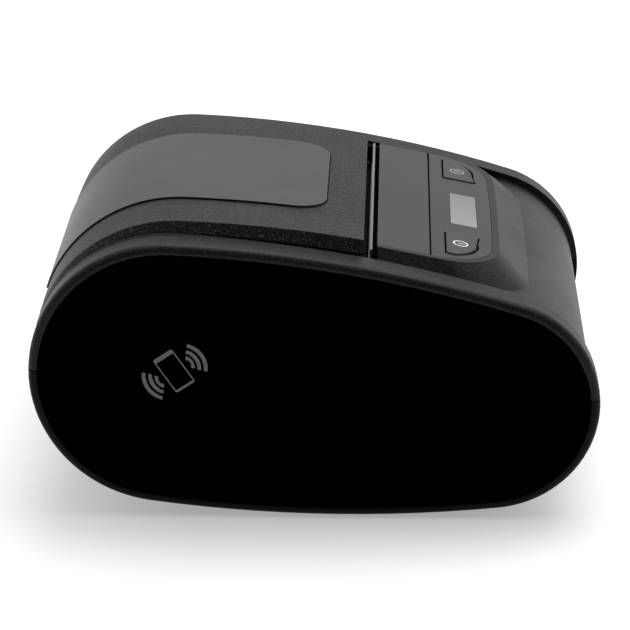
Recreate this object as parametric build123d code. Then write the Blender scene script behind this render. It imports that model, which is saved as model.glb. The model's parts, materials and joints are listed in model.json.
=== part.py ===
from build123d import *
from math import acos, asin, atan2, cos, degrees, hypot, pi, radians, sin, sqrt, tan
import os

# Portable label printer for 80 mm rolls, in millimetres.
# X runs along the body from the rear lid hinge to the front, Y across the roll, Z up.
# The origin is on the table, under the middle of the body.

# Side profile: an egg made of a tall rear circle and a low front circle
body_length = 140.0
body_width = 110.0
rear_radius = 34.0
rear_ground_gap = 3.7
front_radius = 27.6
front_ground_gap = 2.4
crown_sag = 7.42
belly_sag = 7.10

half_width = body_width / 2
rear_x = -body_length / 2
front_x = body_length / 2
rear_centre = (rear_x + rear_radius, rear_radius + rear_ground_gap)
front_centre = (front_x - front_radius, front_radius + front_ground_gap)
rear_top = rear_centre[1] + rear_radius
front_top = front_centre[1] + front_radius
crown_radius = body_length**2 / (8 * crown_sag)
belly_radius = body_length**2 / (8 * belly_sag)
# Further out than any surface, for cuts that pass right through
clear = body_length

# Case walls
wall = 2.2
side_edge_radius = 2.0
rim_width = 8.1
front_recess = 1.6
style_groove = 0.35
parting_rear_rise = 1.6
parting_front_rise = 1.8
parting_gap = 0.25
tongue_height = 1.2
tongue_fit = 0.1
cover_thickness = 1.35
cover_gap = 0.12
cover_edge = 0.3
peg_radius = 1.8
peg_depth = 1.4
peg_fit = 0.05

band_edge = half_width - rim_width
parting_rear_z = rear_centre[1] + parting_rear_rise
parting_front_z = front_centre[1] + parting_front_rise
cover_face = half_width - cover_thickness
side_wall_inner = cover_face - wall

# Lid
lid_shift = 1.95
lid_lift = 0.6
lid_rise = 1.8
lid_front_x = 12.0
lid_front_drop = 2.4
lid_lip_depth = 3.3
lid_foot_gap = 1.8
lid_lean = 1.8
lid_side_gap = 0.3
lid_wall = 2.2
insert_margin = 16.7
insert_front_margin = 9.4
insert_corner_radius = 9.0
insert_thickness = 1.2
insert_proud = 0.45
insert_seam = 0.2

lid_centre = (rear_centre[0] + lid_shift, rear_centre[1] + lid_lift)
lid_radius = rear_radius + lid_rise
lid_crown_radius = crown_radius
lid_front_z = rear_top - lid_front_drop
lid_skirt_z = lid_front_z - lid_lip_depth
lid_foot_half_width = band_edge - lid_foot_gap
lid_half_width = lid_foot_half_width - lid_lean
lid_opening = lid_foot_half_width + lid_side_gap
insert_half_width = lid_half_width - insert_margin
insert_front_x = lid_front_x - insert_front_margin

# Hinge
hinge_lift = 9.8
hinge_depth = 2.4
hinge_pin_radius = 1.0
hinge_fit = 0.05
knuckle_gap = 0.3
knuckle_margin = 3.3
knuckle_length = 12.0
hinge_strap = 1.8
case_strap_relief = 0.6
lid_strap_relief = 0.15

hinge_z = rear_centre[1] + hinge_lift
hinge_reach = lid_radius - hinge_depth
hinge_angle = 180 - degrees(asin((hinge_z - lid_centre[1]) / hinge_reach))
hinge_x = lid_centre[0] + hinge_reach * cos(radians(hinge_angle))
knuckle_radius = hinge_depth
lid_end_z = hinge_z + knuckle_radius + knuckle_gap
rear_strip_z = hinge_z - knuckle_radius - knuckle_gap
lid_knuckle_outer = lid_half_width - knuckle_margin
lid_knuckle_inner = lid_knuckle_outer - knuckle_length

# Front platform, with its strip and control panel
seam_back = 41.65
platform_rise = 7.0
platform_slope = 11.6
slot_width = 3.3
platform_margin = 4.6
platform_side_lip = 1.4
platform_front_lip = 1.8
skirt_depth = 5.6
skirt_gap = 0.1
skirt_lean = 8.6
plate_thickness = 1.4
plate_seam = 0.25
plate_fit = 0.12
panel_front_u = 16.2
panel_bow = 0.9
panel_corner_radius = 13.5
platform_corner_growth = 1.5
skirt_corner_growth = 0.5

seam_x = front_x - seam_back
seam_z = front_top + platform_rise
slot_front_x = lid_front_x + slot_width
platform_half_width = band_edge - platform_margin
panel_half_width = platform_half_width - platform_side_lip
platform_front_u = panel_front_u + platform_front_lip
platform_corner_radius = panel_corner_radius + platform_corner_growth
skirt_half_width = band_edge - skirt_gap
skirt_front_u = platform_front_u + skirt_lean
skirt_corner_radius = platform_corner_radius + skirt_corner_growth
platform_plane = Plane(
    origin=(seam_x, 0, seam_z),
    x_dir=(cos(radians(platform_slope)), 0, -sin(radians(platform_slope))),
    z_dir=(sin(radians(platform_slope)), 0, cos(radians(platform_slope))),
)
platform_rear_u = (slot_front_x - seam_x) / cos(radians(platform_slope))

# Bay under the control panel
bay_rear_u = 1.5
bay_ledge = 1.3
bay_depth = 12.0

# Display and buttons, in the plane of the control panel
display_u = 8.9
display_v = -1.7
display_length = 6.8
display_width = 24.0
display_fit = 0.1
button_u = 8.2
button_edge = 3.7
button_width = 15.2
button_stem_v = 7.0
button_length = 8.3
button_gap = 0.45
button_rim = 0.9
button_travel = 0.6
button_height = 3.8
button_proud = 0.25

button_outer_v = panel_half_width - button_edge
button_inner_v = button_outer_v - button_width
stem_v = button_inner_v + button_stem_v

# Platen and print head
platen_back = 4.3
platen_drop = 11.3
platen_radius = 5.0
platen_side_room = 14.8
platen_shaft_radius = 2.0
head_gap = 0.35
ceramic_thickness = 1.0
head_rise = 4.2
head_drop = 4.6
head_pivot_forward = 10.1
head_pivot_drop = 6.0
head_pivot_radius = 1.3
head_ear_inset = 4.2
pivot_fit = 0.05

platen_x = lid_front_x - platen_back
platen_z = lid_front_z - platen_drop
platen_half_length = half_width - platen_side_room
head_half_width = platen_half_length
head_face_x = platen_x + platen_radius + head_gap
head_back_x = head_face_x + ceramic_thickness + 2.25
head_top_z = platen_z + head_rise
head_base_z = platen_z - head_drop
head_pivot_x = platen_x + head_pivot_forward
head_pivot_z = platen_z - head_pivot_drop

spring_radius = 2.0
spring_wire = 0.4
spring_turns = 4
spring_length = 3.6
spring_y = 20.0
spring_rise = 1.0

# Gear train
gear_module = 0.8
platen_teeth = 12
idler_teeth = 20
motor_teeth = 10
mesh_slack = 0.1
idler_bearing = -60.0
pinion_bearing = -41.0
gear_gap = 1.5
gear_width = 1.4
motor_radius = 10.0
motor_length = 14.2

platen_pitch = gear_module * platen_teeth / 2
idler_pitch = gear_module * idler_teeth / 2
motor_pitch = gear_module * motor_teeth / 2

# Chassis
cheek_gap = 1.7
cheek_thickness = 1.2
cheek_rise = 2.6
chassis_back_gap = 2.5
chassis_rear_x = 9.0
chassis_length = 18.0
chassis_leg = 2.0

cheek_inner = platen_half_length + cheek_gap
gear_plane = cheek_inner + gear_gap
cheek_top_z = platen_z + cheek_rise
chassis_back_x = head_pivot_x + chassis_back_gap

# Tear bar
tear_bar_back = 1.8
tear_bar_thickness = 0.8
tear_bar_drop = 2.1
tear_bar_lift = 0.4
tear_bar_foot = 5.0
tear_bar_growth = 0.3
tear_tooth_pitch = 1.5
tear_tooth_height = 0.8

tear_bar_x = slot_front_x - tear_bar_back
tear_bar_top_z = lid_front_z - tear_bar_drop
tear_bar_base_z = head_top_z + tear_bar_lift
tear_bar_half_width = platform_half_width + tear_bar_growth

# Paper bucket and guides
bucket_forward = 6.5
bucket_lift = 3.3
bucket_clearance = 6.5
bucket_wall = 1.5
bucket_side_gap = 5.85
bucket_end_wall = 1.2
bucket_rim_rise = 5.0
bucket_end_rise = 21.0
cradle_fit = 0.1
guide_gap = 0.4
guide_thickness = 1.6
guide_radius = 17.0
guide_drop = 3.0
guide_travel = 20.0
hub_radius = 6.0
hub_height = 4.0
rack_pinion_teeth = 12
rack_drop = 3.6
rack_height = 2.2
rack_back = 2.6
rack_offset = 1.2
leg_half_width = 2.0
leg_fit = 0.4
sensor_margin = 12.2

bucket_x = rear_centre[0] + bucket_forward
bucket_z = rear_centre[1] + bucket_lift
bucket_radius = rear_radius - bucket_clearance
bucket_end = side_wall_inner - bucket_side_gap
apron_half_width = platen_half_length
guide_inner = platen_half_length + guide_gap
guide_centre_z = bucket_z - guide_drop
rack_pitch_radius = gear_module * rack_pinion_teeth / 2
rack_bottom_z = bucket_z - bucket_radius - bucket_wall - rack_drop
sensor_travel = platen_half_length - sensor_margin

# Battery and boards
battery_rear_x = 8.1
battery_front_room = 20.1
battery_side_room = 24.5
battery_top_z = 22.4
battery_fit = 0.3
bay_wall = 1.6
latch_travel = 3.2
latch_half_width = 7.0
latch_fit = 0.4
board_lift = 3.0
board_thickness = 1.6
board_rear_x = 4.0
board_front_room = 20.0
board_side_room = 14.0
board_hole_inset = 9.5
board_hole_end = 5.0

battery_x0 = battery_rear_x
battery_x1 = front_x - battery_front_room
battery_half_width = half_width - battery_side_room
bay_top_z = battery_top_z + battery_fit + bay_wall
chassis_foot_z = bay_top_z
board_z = battery_top_z + board_lift
board_x0 = board_rear_x
board_x1 = front_x - board_front_room
board_half_width = half_width - board_side_room

# Charging port on the far side
port_back = 30.0
port_rise = 1.0
port_length = 22.0
port_height = 9.0
port_corner = 2.0
port_cover_thickness = 1.2
port_cover_gap = 0.3

port_x = front_x - port_back
port_z = front_centre[1] + port_rise

# Near-field tag behind the near side cover
tag_forward = 2.0
tag_lift = 1.6
tag_radius = 14.0
tag_thickness = 0.3
tag_loop = 5.0

tag_x = rear_centre[0] + tag_forward
tag_z = rear_centre[1] + tag_lift

# Feet and screws
foot_rear_room = 45.0
foot_front_room = 37.4
foot_side_room = 17.0
foot_radius = 6.0
foot_height = 2.4
foot_fit = 0.15
foot_collar = 1.6
foot_show = 1.2
screw_rear_room = 30.0
screw_rear_side = 4.9
screw_front_room = 14.0
screw_front_side = 15.0
screw_radius = 1.2
screw_head_radius = 2.1
screw_head_height = 1.8
boss_radius = 3.1
screw_fit = 0.05
screw_bite = 8.0
rear_screw_seat = 13.0
front_screw_seat = 12.0

foot_rear_x = rear_x + foot_rear_room
foot_front_x = front_x - foot_front_room
foot_y = half_width - foot_side_room
screw_rear_x = rear_x + screw_rear_room
screw_rear_y = half_width - screw_rear_side
screw_front_x = front_x - screw_front_room
screw_front_y = half_width - screw_front_side


def point_at(centre, radius, angle):
    """Point of a circle in the side view, angle in degrees from +X."""
    return (centre[0] + radius * cos(radians(angle)), centre[1] + radius * sin(radians(angle)))


def arc_between(centre, radius, start, end):
    """Arc of a circle in the side view between two angles."""
    middle = (start + end) / 2
    return ThreePointArc(
        point_at(centre, radius, start), point_at(centre, radius, middle), point_at(centre, radius, end)
    )


def wrap_centre(centre_a, radius_a, centre_b, radius_b, big_radius, side):
    """Centre of the large arc that wraps two circles: side 1 is over them, side -1 is under them."""
    reach_a = big_radius - radius_a
    reach_b = big_radius - radius_b
    span = hypot(centre_b[0] - centre_a[0], centre_b[1] - centre_a[1])
    along = (reach_a**2 - reach_b**2 + span**2) / (2 * span)
    off = side * sqrt(reach_a**2 - along**2)
    unit_x = (centre_b[0] - centre_a[0]) / span
    unit_z = (centre_b[1] - centre_a[1]) / span
    return (
        centre_a[0] + along * unit_x + off * unit_z,
        centre_a[1] + along * unit_z - off * unit_x,
    )


def bearing(origin, target):
    """Direction in degrees from one point of the side view to another."""
    return degrees(atan2(target[1] - origin[1], target[0] - origin[0]))


def egg(inset=0.0, nose_cut=0.0):
    """Side profile of the body, moved inwards by inset; nose_cut lowers the front circle."""
    nose = front_radius - nose_cut
    crown = wrap_centre(rear_centre, rear_radius, front_centre, nose, crown_radius, 1)
    belly = wrap_centre(rear_centre, rear_radius, front_centre, nose, belly_radius, -1)
    top_rear = bearing(crown, rear_centre)
    top_front = bearing(crown, front_centre)
    low_rear = bearing(belly, rear_centre) + 360
    low_front = bearing(belly, front_centre) + 360
    edges = [
        arc_between(crown, crown_radius - inset, top_front, top_rear),
        arc_between(rear_centre, rear_radius - inset, top_rear, low_rear),
        arc_between(belly, belly_radius - inset, low_rear, low_front),
        arc_between(front_centre, nose - inset, low_front - 360, top_front),
    ]
    return make_face(edges)


def belly_z(x):
    """Height of the case's underside, in the middle band."""
    nose = front_radius - front_recess
    belly = wrap_centre(rear_centre, rear_radius, front_centre, nose, belly_radius, -1)
    return belly[1] - sqrt(belly_radius**2 - (x - belly[0]) ** 2)


def roof(inset, centre, radius, arch_centre, arch_radius, front_x):
    """Closed profile under a rear circle and the long arc that runs forward from it."""
    start = bearing(arch_centre, centre)
    front_angle = degrees(acos((front_x - arch_centre[0]) / (arch_radius - inset)))
    tail = 200.0
    front_top = point_at(arch_centre, arch_radius - inset, front_angle)
    rear_low = point_at(centre, radius - inset, tail)
    floor_z = 20.0
    edges = [
        arc_between(arch_centre, arch_radius - inset, front_angle, start),
        arc_between(centre, radius - inset, start, tail),
        Line(rear_low, (rear_low[0], floor_z)),
        Line((rear_low[0], floor_z), (front_top[0], floor_z)),
        Line((front_top[0], floor_z), front_top),
    ]
    return make_face(edges)


def lid_roof(inset=0.0):
    """Profile of the lid's top, which ends in the front lip."""
    lid_tip = (lid_front_x, lid_front_z)
    arch = wrap_centre(lid_centre, lid_radius, lid_tip, 0.0, lid_crown_radius, 1)
    return roof(inset, lid_centre, lid_radius, arch, lid_crown_radius, lid_front_x + 8)


def foot_roof(inset=0.0):
    """Profile of the body under the lid's walls."""
    crown = wrap_centre(rear_centre, rear_radius, front_centre, front_radius, crown_radius, 1)
    return roof(inset, rear_centre, rear_radius, crown, crown_radius, lid_front_x + 8)


def prism(profile, y0, y1):
    """Solid between two planes across the body, from a profile in the side view."""
    return extrude(Plane.XZ.offset(-y1) * profile, amount=y1 - y0)


def both_sides(profile, y0, y1):
    """The same prism on the near and on the far side."""
    return prism(profile, y0, y1) + prism(profile, -y1, -y0)


def polygon(*points):
    return make_face(Polyline(*points, close=True))


def block(x0, x1, y0, y1, z0, z1):
    return Pos((x0 + x1) / 2, (y0 + y1) / 2, (z0 + z1) / 2) * Box(x1 - x0, y1 - y0, z1 - z0)


def rod(x, z, radius, y0, y1):
    """Round bar across the body."""
    return prism(Pos(x, z) * Circle(radius), y0, y1)


def tube(x, z, outer, inner, y0, y1):
    return prism(Pos(x, z) * (Circle(outer) - Circle(inner)), y0, y1)


def post(x, y, radius, z0, z1):
    """Upright round bar."""
    return extrude(Plane.XY.offset(z0) * (Pos(x, y) * Circle(radius)), amount=z1 - z0)


def on_platform(profile, w0, w1):
    """Solid on the sloping platform, between two heights along its normal."""
    return extrude(platform_plane.offset(w0) * profile, amount=w1 - w0)


def parting_z(x):
    """Height of the line where the upper and lower case meet."""
    share = (x + body_length / 2) / body_length
    return parting_rear_z + (parting_front_z - parting_rear_z) * share


def above_parting(lift):
    reach = clear
    return prism(
        polygon((-reach, parting_z(-reach) + lift), (reach, parting_z(reach) + lift), (reach, reach), (-reach, reach)),
        -clear,
        clear,
    )


def below_parting(lift):
    reach = clear
    return prism(
        polygon((-reach, -reach), (reach, -reach), (reach, parting_z(reach) + lift), (-reach, parting_z(-reach) + lift)),
        -clear,
        clear,
    )


def d_outline(rear_u, front_u, half, bow, corner):
    """Straight at the back, bowed at the front, with large front corners."""
    edges = [
        Line((front_u - bow, -half), (rear_u, -half)),
        Line((rear_u, -half), (rear_u, half)),
        Line((rear_u, half), (front_u - bow, half)),
        ThreePointArc((front_u - bow, half), (front_u, 0), (front_u - bow, -half)),
    ]
    face = make_face(edges)
    corners = face.vertices().sort_by(Axis.X)[-2:]
    return fillet(corners, corner)


def gear_profile(teeth, bore, phase):
    """Spur gear with straight-flanked teeth, thinner than half the pitch so that a pair runs free."""
    pitch = gear_module * teeth / 2
    tip = pitch + 0.85 * gear_module
    root = pitch - 1.1 * gear_module
    step = 360 / teeth
    root_half = 0.32 * step
    pitch_half = 0.22 * step
    tip_half = 0.10 * step
    points = []
    for tooth in range(teeth):
        middle = phase + tooth * step
        for radius, turn in (
            (root, -root_half),
            (pitch, -pitch_half),
            (tip, -tip_half),
            (tip, tip_half),
            (pitch, pitch_half),
            (root, root_half),
        ):
            points.append(point_at((0, 0), radius, middle + turn))
    return polygon(*points) - Circle(bore)


def body_hull():
    """Outer form of both cases together, before it is hollowed and parted."""
    middle = prism(egg(0, front_recess), -band_edge, band_edge)
    hull = middle
    for side in (1, -1):
        cheek = prism(egg(), min(side * band_edge, side * half_width), max(side * band_edge, side * half_width))
        rim = cheek.faces().sort_by(Axis.Y)[-1 if side > 0 else 0].edges()
        hull += fillet(rim, side_edge_radius)
    platform_top = d_outline(
        platform_rear_u, platform_front_u, platform_half_width, panel_bow, platform_corner_radius
    )
    platform_foot = d_outline(
        platform_rear_u - skirt_depth * tan(radians(platform_slope)),
        skirt_front_u,
        skirt_half_width,
        panel_bow,
        skirt_corner_radius,
    )
    platform = loft([platform_plane.offset(-skirt_depth) * platform_foot, platform_plane * platform_top], ruled=True)
    platform -= block(slot_front_x - clear, slot_front_x, -clear, clear, 0, clear)
    hull += platform
    groove = egg(-1) - egg(style_groove)
    hull -= both_sides(groove, band_edge - style_groove, band_edge)
    pocket = egg(side_edge_radius + cover_edge)
    hull -= both_sides(pocket, cover_face, half_width + 1)
    return hull


def case_hollow():
    return prism(egg(wall, front_recess), -side_wall_inner, side_wall_inner)


def tongue_ring(inset, extra):
    """Ring along the inner half of the case wall, for the joint between the cases."""
    outer = prism(egg(inset, front_recess), -side_wall_inner - extra, side_wall_inner + extra)
    return outer - case_hollow()


def screw_places():
    return [
        (x, side * y)
        for x, y in ((screw_rear_x, screw_rear_y), (screw_front_x, screw_front_y))
        for side in (-1, 1)
    ]


def board_holes():
    """Holes of the main board, over the pillars on the battery bay."""
    return [
        (x, side * (board_half_width - board_hole_inset))
        for x in (board_x0 + board_hole_end, board_x1 - board_hole_end)
        for side in (-1, 1)
    ]


def foot_places():
    return [(x, side * foot_y) for x in (foot_rear_x, foot_front_x) for side in (-1, 1)]


def port_window(grow, y0, y1):
    """Rounded window in the far side wall, in front of the connectors."""
    shape = Pos(port_x, port_z) * RectangleRounded(
        port_length + 2 * grow, port_height + 2 * grow, port_corner + grow
    )
    return prism(shape, y0, y1)


def hinge_point(outwards, upwards):
    """Place beside the hinge, measured along the lid's surface and square to it."""
    turn = radians(hinge_angle)
    return (
        hinge_x + outwards * cos(turn) + upwards * sin(turn),
        hinge_z + outwards * sin(turn) - upwards * cos(turn),
    )


def hinge_web(direction, y0, y1):
    """Strap that carries a knuckle: direction 1 rises to the lid, -1 drops to the case."""
    inner = hinge_depth - wall
    reach = direction * (knuckle_radius + hinge_strap)
    outer = hinge_depth - (lid_strap_relief if direction > 0 else case_strap_relief)
    return prism(
        polygon(
            hinge_point(inner, 0), hinge_point(outer, 0), hinge_point(outer, reach), hinge_point(inner, reach)
        ),
        y0,
        y1,
    )


def upper_case(hull):
    case = hull - case_hollow()
    case &= above_parting(parting_gap / 2)
    opening = polygon(
        (slot_front_x, clear),
        (-clear, clear),
        (-clear, rear_strip_z),
        (hinge_x + 8, rear_strip_z),
        (hinge_x + 8, parting_rear_z + 3.7),
        (slot_front_x, parting_rear_z + 3.7),
    )
    case -= prism(opening, -lid_opening, lid_opening)
    # Room for the print head, the strip, the control panel and what is under it
    room = head_half_width + 1.2
    case -= block(slot_front_x - 1, chassis_back_x + 1.6, -room, room, head_base_z - 3.4, head_top_z + 1.2)
    strip_seat = Pos((platform_rear_u - 1) / 2, 0) * Rectangle(-platform_rear_u + 1, 2 * panel_half_width)
    panel_seat = d_outline(-0.1, panel_front_u, panel_half_width, panel_bow, panel_corner_radius)
    case -= on_platform(strip_seat, -plate_thickness, 3)
    case -= on_platform(panel_seat, -plate_thickness, 3)
    bay = d_outline(
        bay_rear_u, panel_front_u - bay_ledge, panel_half_width - bay_ledge, panel_bow, panel_corner_radius - bay_ledge
    )
    case -= on_platform(bay, -bay_depth, 0)
    # Bosses that take the case screws
    for x, y in screw_places():
        boss = post(x, y, boss_radius, parting_z(x) + parting_gap, front_top)
        boss &= prism(egg(wall / 2, front_recess), -clear, clear)
        case += boss
        case -= post(x, y, screw_radius - screw_fit, 0, parting_z(x) + screw_bite + 1)
    case -= tongue_ring(wall / 2 - tongue_fit, wall / 2 + tongue_fit) & below_parting(tongue_height + tongue_fit)
    case -= port_window(0, side_wall_inner - 1, half_width + 1)
    # Case half of the hinge: one long barrel and two end barrels
    for y0, y1 in (
        (-lid_opening + 0.2, -lid_knuckle_outer - knuckle_gap),
        (-lid_knuckle_inner + knuckle_gap, lid_knuckle_inner - knuckle_gap),
        (lid_knuckle_outer + knuckle_gap, lid_opening - 0.2),
    ):
        case += rod(hinge_x, hinge_z, knuckle_radius, y0, y1) + hinge_web(-1, y0, y1)
    case -= rod(hinge_x, hinge_z, hinge_pin_radius + hinge_fit, -lid_opening, lid_opening)
    return case


def lower_case(hull):
    case = hull - case_hollow()
    case &= below_parting(-parting_gap / 2)
    case += tongue_ring(wall / 2, wall / 2) & (below_parting(tongue_height) & above_parting(-1))
    floor = prism(egg(wall / 2, front_recess), -clear, clear)
    # Collars that hold the feet
    for x, y in foot_places():
        case += post(x, y, foot_radius + foot_collar, foot_show, belly_z(x) + wall + 0.2)
        case -= post(x, y, foot_radius + foot_fit, -1, foot_height)
    # Battery bay, open at the bottom
    bay = block(
        battery_x0 - battery_fit - bay_wall,
        battery_x1 + battery_fit + bay_wall,
        -battery_half_width - battery_fit - bay_wall,
        battery_half_width + battery_fit + bay_wall,
        0,
        bay_top_z,
    )
    case += bay & floor
    case -= block(
        battery_x0 - battery_fit,
        battery_x1 + battery_fit,
        -battery_half_width - battery_fit,
        battery_half_width + battery_fit,
        -1,
        battery_top_z + battery_fit,
    )
    # Ledges that carry the chassis cheeks beside the bay
    ledge_y = battery_half_width + battery_fit + bay_wall / 2
    ledge_end = cheek_inner + cheek_thickness + 1
    chassis_end = chassis_rear_x + chassis_length
    ledge = block(chassis_rear_x, chassis_end, ledge_y, ledge_end, chassis_foot_z - chassis_leg, chassis_foot_z)
    for x in (chassis_rear_x, chassis_end - chassis_leg):
        ledge += block(x, x + chassis_leg, ledge_y, ledge_end, 0, chassis_foot_z) & floor
    case += ledge + mirror(ledge, Plane.XZ)
    # Pillars for the main board
    for x, y in board_holes():
        case += post(x, y, 2.4, bay_top_z - 0.5, board_z)
    # Cradle ribs under the paper bucket
    cradle = block(bucket_x - 20, bucket_x + 20, bucket_end - 1.6, bucket_end, 0, 26) & floor
    cradle -= rod(bucket_x, bucket_z, bucket_radius + bucket_wall + cradle_fit, 0, clear)
    case += cradle + mirror(cradle, Plane.XZ)
    # Post for the guide pinion
    case += post(bucket_x, 0, 3.2, 2.4, rack_bottom_z - 0.3) & floor
    case += post(bucket_x, 0, 1.5, rack_bottom_z - 1, rack_bottom_z + rack_height + 0.4)
    # Screw bosses with a counterbore for the head
    for x, y in screw_places():
        boss = post(x, y, boss_radius, 0, parting_z(x) - parting_gap) & floor
        case += boss
        case -= post(x, y, screw_radius + screw_fit, -1, parting_z(x) + 5)
        case -= post(x, y, screw_head_radius + 0.3, -1, screw_seat_z(x))
    # Slot in the floor and hole in the bay wall for the battery latch
    case -= block(battery_x0 - 14.9, battery_x0 - battery_fit - bay_wall, -latch_half_width - latch_fit, latch_half_width + latch_fit, -1, latch_floor_z() + 0.1)
    low = latch_floor_z()
    case -= block(battery_x0 - 8.1, battery_x0, -latch_half_width + 1.6, latch_half_width - 1.6, low, low + 2.8)
    case -= port_window(0, side_wall_inner - 1, half_width + 1)
    return case


def screw_seat_z(x):
    """Depth of the counterbore: the rear screws sit deeper, where the belly has risen."""
    return rear_screw_seat if x < 0 else front_screw_seat


def peg_places():
    """Pegs behind a side cover: one at each end and two in the middle."""
    return [
        (rear_centre[0] - 16, rear_centre[1]),
        (rear_centre[0] + 26, rear_top - 13.7),
        (rear_centre[0] + 26, rear_centre[1] - 23.7),
        (front_centre[0] + 9.6, front_centre[1] + 1),
    ]


def side_cover(side):
    """Flat plate let into the side of the case, held by four pegs."""
    plate = prism(egg(side_edge_radius + cover_edge + cover_gap), cover_face, half_width)
    for x, z in peg_places():
        plate += rod(x, z, peg_radius, cover_face - peg_depth, cover_face + 0.2)
    if side > 0:
        return plate - port_window(0.4, 0, clear)
    plate -= rod(tag_x, tag_z, tag_radius + 0.3, 0, cover_face + tag_thickness + 0.05)
    return mirror(plate, Plane.XZ)


def cover_peg_holes():
    holes = None
    for x, z in peg_places():
        hole = both_sides(Pos(x, z) * Circle(peg_radius + peg_fit), cover_face - peg_depth - 0.2, cover_face + 1)
        holes = hole if holes is None else holes + hole
    return holes


def lid_limits():
    """Region of the side view that the lid fills: over a chord from the front lip to the hinge."""
    return prism(
        polygon(
            (lid_front_x, lid_skirt_z),
            (lid_front_x, clear),
            (-clear, clear),
            (-clear, lid_end_z),
            (hinge_x - 0.4, lid_end_z),
        ),
        -clear,
        clear,
    )


def insert_plan(shrink):
    """Upright prism over the smooth panel that wraps the lid, seen from above."""
    front = insert_front_x - shrink
    half = insert_half_width - shrink
    plan = Pos((front - clear) / 2, 0) * Rectangle(front + clear, 2 * half)
    corners = plan.vertices().sort_by(Axis.X)[-2:]
    return extrude(Plane.XY * fillet(corners, insert_corner_radius - shrink), amount=clear)


def lid_cover():
    lid = prism(lid_roof(), -lid_half_width, lid_half_width)
    for side in (-1, 1):
        top = Plane.XZ.offset(-side * lid_half_width) * lid_roof()
        foot = Plane.XZ.offset(-side * lid_foot_half_width) * foot_roof()
        lid += loft([top, foot], ruled=True)
    hollow = prism(lid_roof(lid_wall), -lid_half_width, lid_half_width)
    hollow &= block(-clear, lid_front_x - 1.8, -clear, clear, 0, clear)
    lid -= hollow
    lid &= lid_limits()
    # Shallow seat of the smooth panel
    seat = prism(lid_roof(-1) - lid_roof(insert_thickness), -clear, clear)
    lid -= seat & insert_plan(0)
    # Two pads that carry the platen carrier
    for side in (-1, 1):
        middle = side * (platen_half_length - 10.2)
        pad = block(platen_x - 6.2, platen_x + 0.8, middle - 6, middle + 6, carrier_top_z(), clear)
        lid += pad & prism(lid_roof(lid_wall / 2), -clear, clear)
    for side in (-1, 1):
        y0 = min(side * lid_knuckle_inner, side * lid_knuckle_outer)
        y1 = max(side * lid_knuckle_inner, side * lid_knuckle_outer)
        lid += rod(hinge_x, hinge_z, knuckle_radius, y0, y1) + hinge_web(1, y0, y1)
    lid -= rod(hinge_x, hinge_z, hinge_pin_radius + hinge_fit, -clear, clear)
    return lid


def lid_insert_panel():
    panel = prism(lid_roof(-insert_proud) - lid_roof(insert_thickness), -clear, clear)
    panel &= insert_plan(insert_seam)
    return panel & lid_limits()


def hinge_pin():
    return rod(hinge_x, hinge_z, hinge_pin_radius, -lid_opening + 0.4, lid_opening - 0.4)


def platen_rubber():
    return tube(platen_x, platen_z, platen_radius, platen_shaft_radius + 0.03, -platen_half_length, platen_half_length)


def platen_shaft():
    return rod(platen_x, platen_z, platen_shaft_radius, -cheek_inner - 2.2, gear_plane + gear_width + 0.1)


def platen_gear():
    gear = gear_profile(platen_teeth, platen_shaft_radius + 0.03, idler_bearing)
    return prism(Pos(platen_x, platen_z) * gear, gear_plane, gear_plane + gear_width)


def platen_bushings():
    ring = Pos(platen_x, platen_z) * (Circle(3.0) - Circle(platen_shaft_radius + 0.05))
    return both_sides(ring, cheek_inner, gear_plane - 0.15)


def platen_carrier():
    """Bent steel bracket under the lid's lip that holds the platen bushings."""
    side_plate = polygon(
        (platen_x - 4.2, platen_z - 1.5),
        (platen_x - 2.2, platen_z - 4.2),
        (platen_x + 1.8, platen_z - 4.2),
        (platen_x + 2.9, platen_z - 3.0),
        (platen_x + 2.9, carrier_top_z() - 2.2),
        (platen_x + 1.7, carrier_top_z()),
        (platen_x - 6.7, carrier_top_z()),
    )
    side_plate -= Pos(platen_x, platen_z) * Circle(3.05)
    bracket = both_sides(side_plate, cheek_inner, cheek_inner + cheek_thickness)
    end = cheek_inner + cheek_thickness
    top = carrier_top_z()
    bracket += block(platen_x - 6.7, platen_x + 1.7, -end, end, top - cheek_thickness, top)
    for y in (-12, 12):
        bracket -= block(platen_x - 4.7, platen_x - 0.3, y - 9, y + 9, top - 5, top + 5)
    return bracket


def carrier_top_z():
    """Top of the platen carrier, under the pads of the lid."""
    return platen_z + 7.2


def idler_place():
    return point_at((platen_x, platen_z), platen_pitch + idler_pitch + mesh_slack, idler_bearing)


def pinion_place():
    return point_at(idler_place(), idler_pitch + motor_pitch + mesh_slack, pinion_bearing)


def idler_gear():
    x, z = idler_place()
    step = 360 / idler_teeth
    gear = gear_profile(idler_teeth, 1.55, idler_bearing + 180 + step / 2)
    for turn in range(0, 360, 72):
        hole = point_at((0, 0), idler_pitch * 0.55, turn)
        gear -= Pos(hole[0], hole[1]) * Circle(1.3)
    return prism(Pos(x, z) * gear, gear_plane, gear_plane + gear_width)


def idler_pin():
    x, z = idler_place()
    pin = rod(x, z, 1.5, cheek_inner + cheek_thickness, gear_plane + gear_width + 0.4)
    return pin + rod(x, z, 2.3, gear_plane + gear_width + 0.1, gear_plane + gear_width + 0.6)


def motor_pinion():
    x, z = pinion_place()
    # The idler's tooth that faces the pinion sets the pinion's phase
    idler_step = 360 / idler_teeth
    idler_phase = idler_bearing + 180 + idler_step / 2
    offset = (pinion_bearing - idler_phase) % idler_step
    phase = pinion_bearing + 180 + (180 / motor_teeth) + offset * idler_teeth / motor_teeth
    gear = gear_profile(motor_teeth, 0.4, phase) + Circle(0.6)
    pinion = prism(Pos(x, z) * gear, gear_plane, gear_plane + gear_width)
    return pinion + rod(x, z, 1.0, cheek_inner + 0.1, gear_plane + gear_width + 0.3)


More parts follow.
